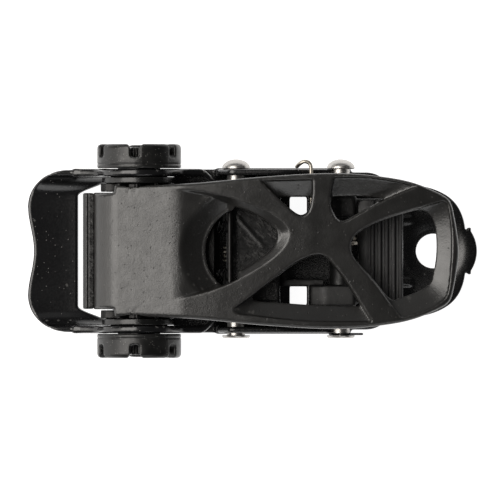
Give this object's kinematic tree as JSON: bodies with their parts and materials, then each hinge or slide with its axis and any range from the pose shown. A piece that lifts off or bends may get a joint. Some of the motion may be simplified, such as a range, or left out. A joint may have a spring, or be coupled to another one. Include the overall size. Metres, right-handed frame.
{
  "type": "ratchet webbing buckle",
  "caption": "Bolt-down ratchet buckle for webbing: slotted winding drum with ratchet wheels, crank lever with drive pawl, and a holding pawl let go by a ribbed thumb lever.",
  "frame": {"origin": "on the underside of the base channel, on the centre line, 46 mm from the axis of the bolt hole", "axes": "+X from the front scoop to the bolt hole in the tail, +Y to the side of the domed rivet heads, +Z out of the face the part is bolted to"},
  "size_m": [0.113, 0.0536, 0.0286],
  "materials": {
    "black_stamped_steel": "gloss black coated sheet steel",
    "black_cast_alloy": "satin black powder coat with a fine orange peel",
    "black_plastic": "satin moulded black plastic",
    "bright_steel": "polished rivet steel",
    "hardened_steel": "blackened hardened steel",
    "spring_wire": "drawn spring wire"
  },
  "bodies": {
    "chassis": {"base_channel": "black_stamped_steel", "front_frame": "black_stamped_steel", "arm_bush_left": "black_plastic", "arm_bush_right": "black_plastic", "front_rivet": "bright_steel", "rear_rivet": "bright_steel", "rear_rivet_washer": "black_stamped_steel", "pawl_saddle": "black_stamped_steel", "latch_spring": "spring_wire", "hold_spring": "spring_wire"},
    "drum": {"drum_bar_upper": "black_stamped_steel", "drum_bar_lower": "black_stamped_steel", "ratchet_wheel_left": "hardened_steel", "ratchet_wheel_right": "hardened_steel", "end_cap_left": "black_plastic", "end_cap_right": "black_plastic", "cap_screw_left": "hardened_steel", "cap_screw_right": "hardened_steel"},
    "lever": {"crank_lever": "black_cast_alloy", "web_guard": "black_plastic", "spring_bar": "hardened_steel", "pawl_spring_left": "spring_wire", "pawl_spring_right": "spring_wire"},
    "drive_pawl": {"drive_pawl": "hardened_steel"},
    "hold_pawl": {"hold_pawl": "hardened_steel"},
    "thumb_lever": {"thumb_lever": "black_stamped_steel", "thumb_pad": "black_plastic"}
  },
  "joints": [
    {"name": "drum_spin", "type": "hinge", "parent": "chassis", "child": "drum", "pos_m": [-0.02775, 0, 0.0165], "axis": [0, 1, 0], "continuous": true},
    {"name": "lever_hinge", "type": "hinge", "parent": "chassis", "child": "lever", "pos_m": [-0.02775, 0, 0.0165], "axis": [0, -1, 0], "range_deg": [0, 120]},
    {"name": "drive_pawl_slide", "type": "slide", "parent": "lever", "child": "drive_pawl", "axis": [-1, 0, 0], "range_m": [0, 0.0018]},
    {"name": "thumb_hinge", "type": "hinge", "parent": "chassis", "child": "thumb_lever", "pos_m": [0.02275, 0, 0.009], "axis": [0, 1, 0], "range_deg": [0, 8], "stiffness_Nm_per_rad": 0.12, "springref_deg": -20.05},
    {"name": "hold_pawl_hinge", "type": "hinge", "parent": "chassis", "child": "hold_pawl", "pos_m": [-0.0035, 0, 0.009], "axis": [0, -1, 0], "range_deg": [0, 10.3]}
  ],
  "couplings": [
    {"joint": "hold_pawl_hinge", "follows": "thumb_hinge", "ratio": 1.283}
  ]
}
